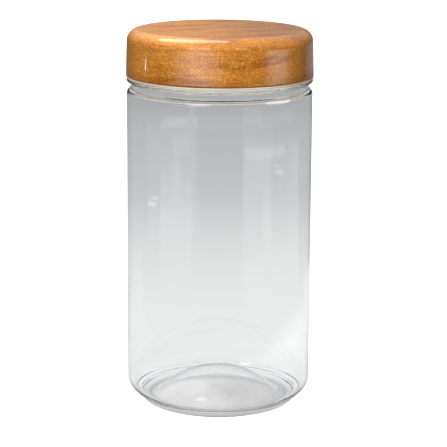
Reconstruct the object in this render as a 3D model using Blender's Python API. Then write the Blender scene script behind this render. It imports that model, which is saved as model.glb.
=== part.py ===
"""Clear storage jar with a wood-look screw lid.

The jar stands on the plane z = 0 with its axis on Z, and the view from -Y is its front. Four pieces:
a blown jar with a moulded neck finish, a threaded inner cap, the smooth shell that covers the cap,
and the round sealing wad between the cap's roof and the jar's rim.
The cap, its shell and the wad are shown screwed down.
"""
import math

import bmesh
import bpy

MM = 0.001

# Smoothness of round forms
SEGMENTS = 60
ARC_STEPS = 5
FOOT_STEPS = 4
CORNER_STEPS = 7
DOME_STEPS = 6

# Jar body, from the table up
BODY_DIAMETER = 92.0 * MM
BODY_WALL = 0.8 * MM
SHOULDER_HEIGHT = 156.4 * MM
SHOULDER_RISE = 2.9 * MM

# Jar base: rounded heel, crease, rounded foot with a flat standing ring, and a domed push-up
BASE_WALL = 1.2 * MM
HEEL_REACH = 11.2 * MM
HEEL_DROP = 9.1 * MM
HEEL_SWEEP = math.radians(64.0)
CREASE_HEIGHT = 3.5 * MM
FOOT_SET_IN = 6.8 * MM
FOOT_ROUND = 3.0 * MM
STANDING_WIDTH = 1.6 * MM
STANDING_EDGE = 0.4 * MM
LEDGE_WIDTH = 4.6 * MM
PUSH_UP_EDGE_HEIGHT = 2.0 * MM
PUSH_UP_HEIGHT = 14.2 * MM

# Jar neck: groove, bead, and the threaded finish above them
NECK_WALL = 0.9 * MM
GROOVE_DEPTH = 1.9 * MM
GROOVE_HEIGHT = 3.2 * MM
BEAD_OVERHANG = 0.1 * MM
BEAD_THICKNESS = 1.7 * MM
FINISH_SET_IN = 3.6 * MM
FINISH_WALL = 1.5 * MM
FINISH_HEIGHT = 17.7 * MM
RIM_ROUND = 0.4 * MM

# Screw thread, right-handed, one ridge on the jar and one in the cap
THREAD_PITCH = 5.08 * MM
THREAD_DEPTH = 1.4 * MM
THREAD_FLANK = math.radians(30.0)
THREAD_CLEARANCE = 0.3 * MM
THREAD_RUN_OUT = math.radians(25.0)
THREAD_SINK = 0.4 * MM
THREAD_END_SINK = 0.15 * MM
JAR_THREAD_CREST = 0.9 * MM
JAR_THREAD_TURNS = 1.4
JAR_THREAD_DROP = 2.4 * MM
CAP_THREAD_CREST = 0.8 * MM
CAP_THREAD_TURNS = 1.2

# Sealing wad
SEAL_THICKNESS = 1.2 * MM
SEAL_GAP = 0.3 * MM
SEAL_BEAD_OVERLAP = 0.95 * MM
SEAL_BEAD_HEIGHT = 0.8 * MM

# Inner cap
CAP_WALL = 0.7 * MM
CAP_ROOF = 1.2 * MM
CAP_FLANGE_THICKNESS = 0.8 * MM
CAP_FLANGE_SET_IN = 0.05 * MM
LID_BEAD_GAP = 0.4 * MM

# Lid shell
FIT_GAP = 0.3 * MM
SHELL_WALL = 0.9 * MM
SHELL_ROOF = 1.2 * MM
SHELL_DRAFT = 0.47 * MM
SHELL_CORNER = 5.9 * MM
SHELL_EDGE_ROUND = 0.3 * MM
HEADROOM = 2.3 * MM
SUPPORT_RING_WIDTH = 1.2 * MM
SUPPORT_RING_RADII = (16.0 * MM, 30.0 * MM)

# Radii that the pieces share
body_radius = BODY_DIAMETER / 2
groove_radius = body_radius - GROOVE_DEPTH
bead_radius = body_radius + BEAD_OVERHANG
finish_radius = body_radius - FINISH_SET_IN
mouth_radius = finish_radius - FINISH_WALL
foot_radius = body_radius - FOOT_SET_IN
foot_centre = (foot_radius - FOOT_ROUND, FOOT_ROUND)
standing_inner = foot_radius - FOOT_ROUND - STANDING_WIDTH
cap_bore_radius = finish_radius + THREAD_DEPTH + THREAD_CLEARANCE
cap_radius = cap_bore_radius + CAP_WALL
shell_bore_radius = cap_radius + FIT_GAP
shell_radius = shell_bore_radius + SHELL_WALL
seal_radius = cap_bore_radius - FIT_GAP

# Heights that the pieces share
groove_bottom = SHOULDER_HEIGHT + SHOULDER_RISE
bead_bottom = groove_bottom + GROOVE_HEIGHT
bead_top = bead_bottom + BEAD_THICKNESS
rim_height = bead_top + FINISH_HEIGHT
seal_bottom = rim_height + SEAL_GAP
seal_top = seal_bottom + SEAL_THICKNESS
cap_ceiling = seal_top + SEAL_GAP
cap_top = cap_ceiling + CAP_ROOF
shell_ceiling = cap_top + HEADROOM
shell_top = shell_ceiling + SHELL_ROOF
lid_bottom = bead_top + LID_BEAD_GAP
flange_top = lid_bottom + CAP_FLANGE_THICKNESS
shell_bottom = flange_top + FIT_GAP
corner_radius_centre = shell_radius - SHELL_CORNER
corner_height_centre = shell_top - SHELL_CORNER
thread_low = rim_height - JAR_THREAD_DROP - JAR_THREAD_TURNS * THREAD_PITCH


def arc(centre, reach, rise, start, end, steps):
    """Points (radius, height) along an ellipse's arc, from angle start to angle end."""
    points = []
    for i in range(steps + 1):
        angle = start + (end - start) * i / steps
        points.append((centre[0] + reach * math.cos(angle), centre[1] + rise * math.sin(angle)))
    return points


def push_up():
    """Centre height, radius and half angle of the sphere that the push-up is cut from."""
    edge = standing_inner - STANDING_EDGE - LEDGE_WIDTH
    rise = PUSH_UP_HEIGHT - PUSH_UP_EDGE_HEIGHT
    radius = (edge ** 2 + rise ** 2) / (2 * rise)
    return PUSH_UP_HEIGHT - radius, radius, math.asin(edge / radius)


def jar_inside():
    """The jar's inner face, from the middle of the base up to the rim."""
    dome_centre, dome_radius, half_angle = push_up()
    inner_dome = dome_radius + BASE_WALL
    points = arc((0.0, dome_centre), inner_dome, inner_dome, math.pi / 2, math.pi / 2 - half_angle, DOME_STEPS)
    points.append((standing_inner, BASE_WALL))
    inner_round = FOOT_ROUND - BASE_WALL
    points += arc(foot_centre, inner_round, inner_round, -math.pi / 2, 0.0, FOOT_STEPS)
    heel_top = CREASE_HEIGHT + HEEL_DROP * math.sin(HEEL_SWEEP)
    heel_centre = (body_radius - HEEL_REACH, heel_top)
    points += arc(heel_centre, HEEL_REACH - BODY_WALL, HEEL_DROP - BASE_WALL, -HEEL_SWEEP, 0.0, ARC_STEPS)
    neck_inside = groove_radius - NECK_WALL
    shoulder_centre = (neck_inside, SHOULDER_HEIGHT)
    reach = body_radius - BODY_WALL - neck_inside
    points += arc(shoulder_centre, reach, SHOULDER_RISE - NECK_WALL, 0.0, math.pi / 2, ARC_STEPS)
    cone_start = bead_bottom - NECK_WALL
    points.append((neck_inside, cone_start))
    points.append((mouth_radius, cone_start + neck_inside - mouth_radius))
    points.append((mouth_radius, rim_height - RIM_ROUND))
    points.append((mouth_radius + RIM_ROUND, rim_height))
    return points


def jar_outside():
    """The jar's outer face, from the rim down to the middle of the base."""
    points = [(finish_radius - RIM_ROUND, rim_height), (finish_radius, rim_height - RIM_ROUND)]
    points.append((finish_radius, bead_top))
    half = BEAD_THICKNESS / 2
    bead_centre = (bead_radius - half, bead_bottom + half)
    points += arc(bead_centre, half, half, math.pi / 2, -math.pi / 2, ARC_STEPS + 1)
    points.append((groove_radius, bead_bottom))
    shoulder_centre = (groove_radius, SHOULDER_HEIGHT)
    points += arc(shoulder_centre, GROOVE_DEPTH, SHOULDER_RISE, math.pi / 2, 0.0, ARC_STEPS)
    heel_top = CREASE_HEIGHT + HEEL_DROP * math.sin(HEEL_SWEEP)
    points += arc((body_radius - HEEL_REACH, heel_top), HEEL_REACH, HEEL_DROP, 0.0, -HEEL_SWEEP, ARC_STEPS)
    points += arc(foot_centre, FOOT_ROUND, FOOT_ROUND, 0.0, -math.pi / 2, FOOT_STEPS)
    points.append((standing_inner, 0.0))
    points.append((standing_inner - STANDING_EDGE, STANDING_EDGE))
    dome_centre, dome_radius, half_angle = push_up()
    points += arc((0.0, dome_centre), dome_radius, dome_radius, math.pi / 2 - half_angle, math.pi / 2, DOME_STEPS)
    return points


def cap_profile():
    """The inner cap, from the middle of its top down its skirt and up inside it to its ceiling."""
    reach = SHELL_CORNER - SHELL_WALL - FIT_GAP
    rise = SHELL_CORNER - SHELL_ROOF - FIT_GAP
    corner = math.asin((cap_top - corner_height_centre) / rise)
    points = [(0.0, cap_top)]
    points += arc((corner_radius_centre, corner_height_centre), reach, rise, corner, 0.0, ARC_STEPS)
    flange_radius = shell_radius + SHELL_DRAFT - CAP_FLANGE_SET_IN
    points.append((cap_radius + SHELL_DRAFT, flange_top))
    points.append((flange_radius, flange_top))
    points.append((flange_radius, lid_bottom))
    points.append((cap_bore_radius, lid_bottom))
    bead_radius_inside = seal_radius - SEAL_BEAD_OVERLAP
    bead_top_height = seal_bottom - SEAL_GAP
    slope = (cap_bore_radius - bead_radius_inside) / 4
    points.append((cap_bore_radius, bead_top_height - SEAL_BEAD_HEIGHT))
    points.append((bead_radius_inside, bead_top_height - SEAL_BEAD_HEIGHT + slope))
    points.append((bead_radius_inside, bead_top_height - slope))
    points.append((cap_bore_radius, bead_top_height))
    points.append((cap_bore_radius, cap_ceiling))
    points.append((0.0, cap_ceiling))
    return points


def shell_profile():
    """The lid shell, from the middle of its top down its skirt and up inside it to its ceiling."""
    centre = (corner_radius_centre, corner_height_centre)
    points = [(0.0, shell_top)]
    points += arc(centre, SHELL_CORNER, SHELL_CORNER, math.pi / 2, 0.0, CORNER_STEPS)
    low_radius = shell_radius + SHELL_DRAFT
    points.append((low_radius, shell_bottom + SHELL_EDGE_ROUND))
    points.append((low_radius - SHELL_EDGE_ROUND, shell_bottom))
    points.append((shell_bore_radius + SHELL_DRAFT, shell_bottom))
    reach = SHELL_CORNER - SHELL_WALL
    rise = SHELL_CORNER - SHELL_ROOF
    points += arc(centre, reach, rise, 0.0, math.pi / 2, CORNER_STEPS)
    ring_bottom = shell_ceiling - HEADROOM + FIT_GAP
    for ring in reversed(SUPPORT_RING_RADII):
        points.append((ring + SUPPORT_RING_WIDTH / 2, shell_ceiling))
        points.append((ring + SUPPORT_RING_WIDTH / 2, ring_bottom))
        points.append((ring - SUPPORT_RING_WIDTH / 2, ring_bottom))
        points.append((ring - SUPPORT_RING_WIDTH / 2, shell_ceiling))
    points.append((0.0, shell_ceiling))
    return points


def seal_profile():
    """The sealing wad, a flat disc."""
    return [(0.0, seal_top), (seal_radius, seal_top), (seal_radius, seal_bottom), (0.0, seal_bottom)]


def plastic(name, colour, roughness, transmission=0.0):
    """A plain plastic material."""
    material = bpy.data.materials.new(name)
    material.use_nodes = True
    shader = material.node_tree.nodes["Principled BSDF"]
    shader.inputs["Base Color"].default_value = (*colour, 1.0)
    shader.inputs["Roughness"].default_value = roughness
    shader.inputs["Metallic"].default_value = 0.0
    shader.inputs["Transmission Weight"].default_value = transmission
    return material


def add_object(name, mesh, material=None):
    """Link a mesh to the scene as a named object."""
    if material:
        mesh.materials.append(material)
    piece = bpy.data.objects.new(name, mesh)
    bpy.context.scene.collection.objects.link(piece)
    return piece


def turned(name, profile, material):
    """A solid of revolution about Z. The profile runs down its outer side."""
    mesh = bpy.data.meshes.new(name)
    edges = [(i, i + 1) for i in range(len(profile) - 1)]
    mesh.from_pydata([(radius, 0.0, height) for radius, height in profile], edges, [])
    piece = add_object(name, mesh, material)
    screw = piece.modifiers.new("turn", "SCREW")
    screw.axis = "Z"
    screw.angle = 2 * math.pi
    screw.steps = SEGMENTS
    screw.render_steps = SEGMENTS
    screw.use_merge_vertices = True
    screw.merge_threshold = THREAD_SINK / 100
    screw.use_smooth_shade = True
    return piece


def ridge(name, wall_radius, outward, crest_width, low, turns, start_turn):
    """A helical thread ridge whose ends run out into the wall, as a hidden guide for a union."""
    mesh = bpy.data.meshes.new(name)
    bm = bmesh.new()
    slope = math.tan(THREAD_FLANK)
    stations = round(turns * SEGMENTS)
    step = 2 * math.pi * turns / stations
    half_step = math.pi / SEGMENTS
    rings = []
    for i in range(stations + 1):
        along = i * step
        fade = min(1.0, along / THREAD_RUN_OUT, (2 * math.pi * turns - along) / THREAD_RUN_OUT)
        height_of_crest = THREAD_DEPTH * fade - THREAD_END_SINK * (1.0 - fade)
        crest_radius = wall_radius + outward * height_of_crest
        root_radius = wall_radius - outward * THREAD_SINK
        crest_half = crest_width / 2
        root_half = crest_half + (height_of_crest + THREAD_SINK) * slope
        angle = along + half_step + 2 * math.pi * start_turn
        middle = low + THREAD_PITCH * along / (2 * math.pi)
        section = [(root_radius, middle - root_half), (crest_radius, middle - crest_half)]
        section += [(crest_radius, middle + crest_half), (root_radius, middle + root_half)]
        rings.append([bm.verts.new((r * math.cos(angle), r * math.sin(angle), z)) for r, z in section])
    for ring, following in zip(rings, rings[1:]):
        for i in range(len(ring)):
            j = (i + 1) % len(ring)
            bm.faces.new((ring[i], ring[j], following[j], following[i]))
    bm.faces.new(rings[0])
    bm.faces.new(rings[-1])
    bmesh.ops.recalc_face_normals(bm, faces=bm.faces)
    bm.to_mesh(mesh)
    bm.free()
    guide = add_object(name, mesh)
    guide.hide_render = True
    guide.display_type = "WIRE"
    return guide


def fuse(piece, guide):
    """Union a guide's form with a piece."""
    union = piece.modifiers.new("union", "BOOLEAN")
    union.operation = "UNION"
    union.solver = "EXACT"
    union.object = guide


def cap_thread_offset():
    """How far below the jar's ridge the cap's ridge lies when the lid is screwed down."""
    engaged = THREAD_DEPTH - THREAD_CLEARANCE
    touching = (JAR_THREAD_CREST + CAP_THREAD_CREST) / 2 + engaged * math.tan(THREAD_FLANK)
    return touching + THREAD_CLEARANCE / math.cos(THREAD_FLANK)


def main():
    """Build the four pieces where they lie with the lid screwed down."""
    for old in list(bpy.data.objects):
        bpy.data.objects.remove(old, do_unlink=True)

    clear = plastic("clear_plastic", (0.93, 0.95, 0.95), 0.04, transmission=1.0)
    wood_look = plastic("wood_look_plastic", (0.55, 0.26, 0.08), 0.35)
    cream = plastic("cream_plastic", (0.86, 0.74, 0.58), 0.45)
    foam = plastic("white_foam", (0.9, 0.9, 0.88), 0.8)

    jar = turned("jar", jar_inside() + jar_outside(), clear)
    jar_ridge = ridge(
        "jar_thread_guide", finish_radius, 1, JAR_THREAD_CREST, thread_low, JAR_THREAD_TURNS, 0.0
    )
    fuse(jar, jar_ridge)

    inner_cap = turned("inner_cap", cap_profile(), cream)
    start_turn = (JAR_THREAD_TURNS - CAP_THREAD_TURNS) / 2
    cap_low = thread_low + THREAD_PITCH * start_turn - cap_thread_offset()
    cap_ridge = ridge(
        "cap_thread_guide", cap_bore_radius, -1, CAP_THREAD_CREST, cap_low, CAP_THREAD_TURNS, start_turn
    )
    fuse(inner_cap, cap_ridge)

    turned("lid_shell", shell_profile(), wood_look)
    turned("seal_wad", seal_profile(), foam)


main()
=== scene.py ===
"""Finish of a clear storage jar with a wood-look screw lid.

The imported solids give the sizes. Each piece is turned again here with a fine surface, fillets and its
finish, and the stage puts it on a pale floor in soft light, seen as in the photograph.
"""
import math

import bmesh
import bpy
from mathutils import Matrix, Vector


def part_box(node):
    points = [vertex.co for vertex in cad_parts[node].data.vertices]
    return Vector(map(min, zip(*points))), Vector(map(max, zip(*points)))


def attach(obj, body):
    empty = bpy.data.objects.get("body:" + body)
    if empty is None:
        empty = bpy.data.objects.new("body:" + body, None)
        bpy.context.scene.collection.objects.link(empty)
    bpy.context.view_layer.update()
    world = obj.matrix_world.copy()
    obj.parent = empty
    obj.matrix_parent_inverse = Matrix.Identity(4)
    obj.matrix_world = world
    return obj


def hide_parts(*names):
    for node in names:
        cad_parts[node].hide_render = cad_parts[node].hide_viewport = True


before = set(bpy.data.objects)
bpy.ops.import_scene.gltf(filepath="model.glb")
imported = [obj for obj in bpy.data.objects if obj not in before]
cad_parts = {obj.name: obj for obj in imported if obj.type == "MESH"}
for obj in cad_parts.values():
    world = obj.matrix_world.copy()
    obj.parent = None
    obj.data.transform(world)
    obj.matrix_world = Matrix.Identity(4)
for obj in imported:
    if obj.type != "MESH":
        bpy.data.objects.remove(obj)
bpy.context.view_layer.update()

bl_info = {
    "name": "Clear storage jar with wood-look lid",
    "version": (1, 0, 0),
    "blender": (4, 5, 0),
    "location": "3D View > Sidebar > Storage jar",
    "description": "Builds a clear storage jar, its screw lid and a small studio around it",
    "category": "Object",
}

MM = 0.001
JAR_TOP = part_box("jar")[1]
SHELL_LOW, SHELL_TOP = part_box("lid_shell")
CAP_LOW, CAP_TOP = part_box("inner_cap")
WAD_LOW, WAD_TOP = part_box("seal_wad")

# Smoothness of the turned forms
TURN_STEPS = 192
ROUND_STEPS = 5
BEND_STEPS = 14
DOME_STEPS = 22
GUARD = 0.35 * MM
WELD = 0.002 * MM
SMOOTH_ANGLE = math.radians(32.0)

# Small sizes of the jar that its property group leaves out
HEEL_SWEEP = math.radians(64.0)
FOOT_ROUND = 3.0 * MM
STANDING_WIDTH = 1.6 * MM
STANDING_EDGE = 0.4 * MM
LEDGE_WIDTH = 4.6 * MM
PUSH_UP_EDGE_HEIGHT = 2.0 * MM
RIM_ROUND = 0.4 * MM
BEAD_OVERHANG = 0.1 * MM
RING_SWEEP = math.radians(50.0)
RING_HALF_WIDTH = math.radians(1.5)
RING_HEIGHT = 0.2 * MM

# Fillets of the jar, from the base up
DOME_EDGE_ROUND = 3.0 * MM
LEDGE_INNER_ROUND = 2.0 * MM
LEDGE_ROUND = 0.6 * MM
STANDING_ROUND = 0.4 * MM
FOOT_CORNER_ROUND = 0.6 * MM
CREASE_ROUND = 1.0 * MM
SHOULDER_TOP_ROUND = 0.12 * MM
GROOVE_ROUND = 0.5 * MM
CONE_LOW_ROUND = 0.6 * MM
CONE_HIGH_ROUND = 0.8 * MM
FINISH_FOOT_ROUND = 0.5 * MM

# Screw thread, right-handed, one ridge on the jar and one in the cap
THREAD_FLANK = math.radians(30.0)
THREAD_SINK = 0.4 * MM
THREAD_RUN_OUT = math.radians(25.0)
THREAD_END_SHARE = 0.15
JAR_THREAD_CREST = 0.9 * MM
JAR_THREAD_TURNS = 1.4
JAR_THREAD_DROP = 2.4 * MM
CAP_THREAD_CREST = 0.8 * MM
CAP_THREAD_TURNS = 1.2

# Small sizes of the lid, its cap and its wad
LID_CORNER_STEPS = BEND_STEPS + 4
SUPPORT_RINGS = (30.0 * MM, 16.0 * MM)
SUPPORT_ROOT_ROUND = 0.3 * MM
SUPPORT_TIP_ROUND = 0.2 * MM
CAP_CORNER_ROUND = 0.2 * MM
FLANGE_TOP_ROUND = 0.15 * MM
FLANGE_LOW_ROUND = 0.25 * MM
WAD_BEAD_ROOT_ROUND = 0.1 * MM
WAD_BEAD_ROUND = 0.12 * MM
WAD_EDGE_ROUND = 0.3 * MM
RIM_PRESS = 0.12 * MM

# Noise of the finishes: stretch along each axis, scale, detail and, where it isn't a half, roughness
SKIN_WAVES = ((1.0, 1.0, 0.12), 55.0, 2.0)
SKIN_BLOTCHES = ((1.0, 1.0, 0.7), 38.0, 3.0)
SKIN_SCUFFS = ((1.0, 1.0, 0.35), 1400.0, 2.0, 0.65)
WOOD_DRIFT = ((1.0, 1.0, 1.0), 26.0, 2.0)
WOOD_BANDS = ((1.0, 1.0, 4.5), 22.0, 3.0, 0.6)
WOOD_FIBRES = ((1.0, 1.0, 14.0), 70.0, 5.0, 0.7)
WOOD_HAIRS = ((1.0, 1.0, 9.0), 190.0, 3.0, 0.7)
WOOD_PORES = ((1.0, 1.0, 7.0), 150.0, 1.0)
WOOD_SPECKS = ((1.0, 1.0, 1.5), 1500.0, 1.0)
WOOD_PATCHES = ((1.0, 1.0, 1.6), 34.0, 2.0)
WOOD_GRIT = ((1.0, 1.0, 1.5), 900.0, 2.0, 0.7)
CREAM_CLOUDS = ((1.0, 1.0, 1.0), 60.0, 3.0)
FLOOR_STREAKS = ((1.0, 0.35, 1.0), 80.0, 2.0)

# How a value becomes a share or a tone: its range and, where that isn't nought to one, what it becomes
BLOTCH_SHARE = (0.35, 0.7)
BAND_SHARE = (0.38, 0.56)
FIBRE_SHARE = (0.46, 0.70, 0.0, 0.75)
HAIR_SHARE = (0.55, 0.28, 0.0, 0.5)
PORE_SHARE = (0.30, 0.22, 0.0, 0.8)
SPECK_SHARE = (0.58, 0.68)
PATCH_SHARE = (0.40, 0.62)
GRIT_TONE = (0.34, 0.66, 0.74, 1.26)
# Painted light on the lid's top: lighter to the left, darker to the right
TOP_PAINTED_LIGHT = (-SHELL_TOP.x, SHELL_TOP.x, 1.26, 0.70)
# Painted shade at the right end of the lid's side
SIDE_END_PAINTED_SHADE = (0.72 * SHELL_TOP.x, SHELL_TOP.x, 1.0, 0.74)
# Painted shade, darker towards the lid's lower edge
LOWER_EDGE_PAINTED_SHADE = (SHELL_LOW.z, SHELL_LOW.z + 6.0 * MM, 0.76, 1.0)
CELL_SHARE = (0.1, 0.6)
FOOT_SLOPE = (-0.013, 0.020, 1.0, 0.72)
STREAK_TONE = (0.35, 0.65, 0.92, 1.06)
UNDER_FOOT = (0.033, 0.036, 1.0, 0.0)
FAR_EDGE = (1.15, 1.35)
CEILING_RISE = (0.05, 0.6)
BACK_CARD = (0.88, 0.97, 0.0, 0.08)
BACK_CARD_SIDE = (0.08, 0.25, 1.0, 0.1)

# Skin of each plastic: roughness, how much the blotches add, and the heights of waves and scuffs in metres
CLEAR_SKIN = (0.006, 0.02, 0.00010, 0.0000006)
WOOD_SKIN = (0.38, 0.12, 0.00004, 0.000002)
CREAM_SKIN = (0.36, 0.12, 0.00005, 0.000003)

# Clear plastic, and the share of a lamp's light that passes it
CLEAR_IOR = 1.57
LAMP_PASS = (0.93, 0.93, 0.93, 1.0)

# Printed wood: how the grain lies on the top, where it takes over from the side's, specks and coat
DRIFT_HEIGHT = 6.0 * MM
TOP_GRAIN_TURN = (math.radians(90.0), math.radians(24.0), 0.0)
TOP_GRAIN_SHIFT = (0.31, 0.17, 0.0)
TOP_PRINT_START = 1.0 * MM
TOP_PRINT_END = 0.4 * MM
SIDE_SPECKLE = 0.45
TOP_SPECKLE = 0.5
WOOD_SPECULAR = 0.2
WOOD_COAT = 0.6
WOOD_COAT_ROUGHNESS = 0.06

# Cream plastic and foam
CLOUD_SHADE = 0.9
FOAM_CELLS = 1800.0
FOAM_SHADE = 0.86
FOAM_BUMP = 0.5
FOAM_RELIEF = 0.05 * MM
FOAM_ROUGHNESS = 0.75

# Camera, floor and even light
SENSOR_WIDTH = 36.0
CLIP_START = 0.01
CLIP_END = 50.0
FLOOR_SIDES = 96
FLOOR_RADIUS = 6.0
SUN_TURN = (math.radians(34.0), 0.0, math.radians(-13.0))
SUN_ENERGY = 5.75
SUN_SPREAD = math.radians(50.0)
LAMP_AIM = (0.0, 0.0, 0.17)

# Tones of the floor and the room: as the camera sees them, as matt faces do, as they show through the
# jar, and as the outer faces mirror them
FLOOR_PLAIN = (0.9, 0.9, 0.9, 1.0)
FLOOR_ON_MATT = (0.13, 0.13, 0.13, 1.0)
FLOOR_FAR_MIRRORED = (0.025, 0.025, 0.025, 1.0)
UNDER_FOOT_TINT = (1.0, 0.985, 0.985, 1.0)
ROOM_PLAIN = (1.0, 1.0, 1.0, 1.0)
ROOM_ON_MATT = (0.16, 0.16, 0.165, 1.0)
WALL_THROUGH = (0.65, 0.65, 0.66, 1.0)
CEILING_THROUGH = (0.97, 0.98, 1.0, 1.0)
WALL_MIRRORED = (0.10, 0.10, 0.105, 1.0)
CEILING_MIRRORED = (0.95, 0.96, 1.0, 1.0)

# Lamps that face the neck: name, place, width and length in metres, power, the pieces they light, and roll
# in degrees. The inner lamp stands for the light that the clear neck lets in under the lid.
LAMPS = (
    ("lid_lamp", (-0.34, 0.19, 1.22), (0.75, 1.0), 17.0, ("wood_look_lid",), 14.0),
    ("spark_lamp", (-0.328, 0.038, 0.1435), (0.010, 0.006), 0.004, ("wood_look_lid",), 0.0),
    ("top_lamp", (-0.31, 0.57, 1.21), (1.0, 0.8), 15.0, ("clear_jar",), 0.0),
    ("left_box", (-0.88, -1.80, 0.72), (1.15, 1.2), 15.0, ("clear_jar", "wood_look_lid"), 0.0),
    ("right_box", (1.95, -0.40, 0.72), (1.5, 1.2), 26.0, ("clear_jar",), 0.0),
    ("small_lamp", (-0.36, -0.05, 1.15), (0.22, 0.3), 0.5, ("clear_jar",), 0.0),
    ("inner_lamp", (0.0, 0.0, 0.06), (0.06, 0.06), 0.09, ("cream_cap", "foam_wad"), 0.0),
)

# Light on the floor that shows in the gloss alone: bearings from the front in degrees, near and far edge in
# metres, softness of both, and strength. The near zones show in the jar, most of the far ones in the lid.
NEAR_ZONES = (
    (-75.0, -32.0, 0.38, 0.70, 4.0, 0.12, 0.45),
    (-58.0, -33.0, 0.76, 0.86, 3.0, 0.02, 0.40),
    (29.0, 112.0, 0.30, 0.80, 4.0, 0.08, 0.35),
    (54.0, 66.0, 0.40, 0.60, 4.0, 0.06, 0.35),
    (31.0, 85.0, 0.745, 0.80, 3.0, 0.01, 0.50),
    (-70.0, 100.0, 0.90, 0.98, 8.0, 0.03, 0.25),
    (-96.0, -82.0, 0.528, 0.545, 2.0, 0.004, 1.1),
    (-90.0, -78.0, 0.556, 0.566, 2.0, 0.003, 1.0),
    (132.0, 160.0, 0.08, 0.30, 6.0, 0.05, 0.2),
)
FAR_ZONES = (
    (-48.0, -5.0, 1.60, 5.50, 19.0, 0.10, 4.8),
    (60.0, 88.0, 1.60, 5.50, 12.0, 0.10, 4.2),
    (129.5, 175.0, 1.30, 3.60, 1.5, 0.03, 0.45),
)

# How the floor's light falls off: at each distance in metres, the share of the way to its far tone. The
# dark ring is the shade under the foot.
FLOOR_FALL = (
    (0.0, 0.26), (0.030, 0.26), (0.0345, 0.95), (0.0375, 0.95), (0.0405, 0.12), (0.10, 0.06), (0.20, 0.15),
    (0.30, 0.29), (0.40, 0.46), (0.48, 0.64), (0.56, 0.74), (0.80, 0.84), (1.0, 1.0),
)


def length(name, description, default):
    """A property that holds a length in metres."""
    return bpy.props.FloatProperty(
        name=name, description=description, default=default, unit="LENGTH", precision=5
    )


def turn(name, description, default):
    """A property that holds an angle."""
    return bpy.props.FloatProperty(
        name=name, description=description, default=default, subtype="ANGLE", precision=4
    )


def tint(name, description, default):
    """A property that holds a colour."""
    return bpy.props.FloatVectorProperty(
        name=name, description=description, default=default, size=3, min=0.0, max=1.0, subtype="COLOR"
    )


class JarSizes(bpy.types.PropertyGroup):
    """Sizes and finish of the blown jar."""

    height: length("Height", "From the table to the rim", JAR_TOP.z)
    body_radius: length("Body radius", "Outer radius of the straight wall", JAR_TOP.x - BEAD_OVERHANG)
    wall: length("Wall", "Thickness of the straight wall", 0.8 * MM)
    base_wall: length("Base wall", "Thickness of the base", 1.2 * MM)
    shoulder_height: length("Shoulder height", "Where the straight wall ends", 156.4 * MM)
    shoulder_rise: length("Shoulder rise", "Height of the rounded shoulder", 2.9 * MM)
    heel_reach: length("Heel reach", "How far in the rounded heel reaches", 11.2 * MM)
    heel_drop: length("Heel drop", "Height of the heel's full curve", 9.1 * MM)
    crease_height: length("Crease height", "Height of the crease under the heel", 3.5 * MM)
    foot_set_in: length("Foot set in", "From the wall to the foot", 6.8 * MM)
    push_up: length("Push-up", "Height of the dome in the base", 14.2 * MM)
    groove_depth: length("Groove depth", "Depth of the groove under the bead", 1.9 * MM)
    groove_height: length("Groove height", "Height of that groove", 3.2 * MM)
    bead_thickness: length("Bead thickness", "Thickness of the bead under the lid", 1.7 * MM)
    neck_wall: length("Neck wall", "Thickness of the wall at the groove", 0.9 * MM)
    finish_set_in: length("Finish set in", "From the body's wall to the threaded wall", 3.6 * MM)
    finish_wall: length("Finish wall", "Thickness of the threaded wall", 1.5 * MM)
    thread_depth: length("Thread depth", "How far the thread stands out", 1.4 * MM)
    thread_pitch: length("Thread pitch", "Rise of the thread in one turn", 5.08 * MM)
    parting_angle: turn("Parting line", "Where the mould halves met, from +X", math.radians(253.5))
    parting_width: length("Parting width", "Width of the fine ridge there", 0.44 * MM)
    parting_height: length("Parting height", "How far that ridge stands out", 0.035 * MM)
    colour: tint("Colour", "Tint of the clear plastic", (0.985, 0.99, 0.99))


class LidSizes(bpy.types.PropertyGroup):
    """Sizes and finish of the lid's shell."""

    radius: length("Radius", "Radius at the lower edge", SHELL_TOP.x)
    draft: length("Draft", "How much narrower the side is at its top", 0.47 * MM)
    corner: length("Corner", "Radius of the rounded upper edge", 5.9 * MM)
    wall: length("Wall", "Thickness of the side", 0.9 * MM)
    roof: length("Roof", "Thickness of the top", 1.2 * MM)
    edge_round: length("Edge round", "Rounding of the lower edge", 0.3 * MM)
    ring_width: length("Ring width", "Width of each support ring inside", 1.2 * MM)
    base: tint("Base colour", "Middle tone of the printed wood", (0.50, 0.180, 0.017))
    dark: tint("Dark colour", "Darker bands of the printed wood", (0.31, 0.088, 0.004))
    light: tint("Light colour", "Lighter bands of the printed wood", (0.67, 0.295, 0.048))
    speck: tint("Speckle colour", "Fine pale specks between the fibres", (0.82, 0.49, 0.20))


class CapSizes(bpy.types.PropertyGroup):
    """Sizes and finish of the threaded inner cap and its wad."""

    wall: length("Wall", "Thickness of the cap's side", 0.7 * MM)
    flange: length("Flange", "Thickness of the flange under the shell", 0.8 * MM)
    fit_gap: length("Fit gap", "Gap between the cap, its wad and the shell", 0.3 * MM)
    bead_overlap: length("Bead overlap", "How far the bead reaches under the wad", 0.95 * MM)
    bead_height: length("Bead height", "Height of that bead", 0.8 * MM)
    colour: tint("Cap colour", "Unprinted cream plastic", (0.72, 0.57, 0.40))
    wad_colour: tint("Wad colour", "White foam", (0.86, 0.86, 0.83))


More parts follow.
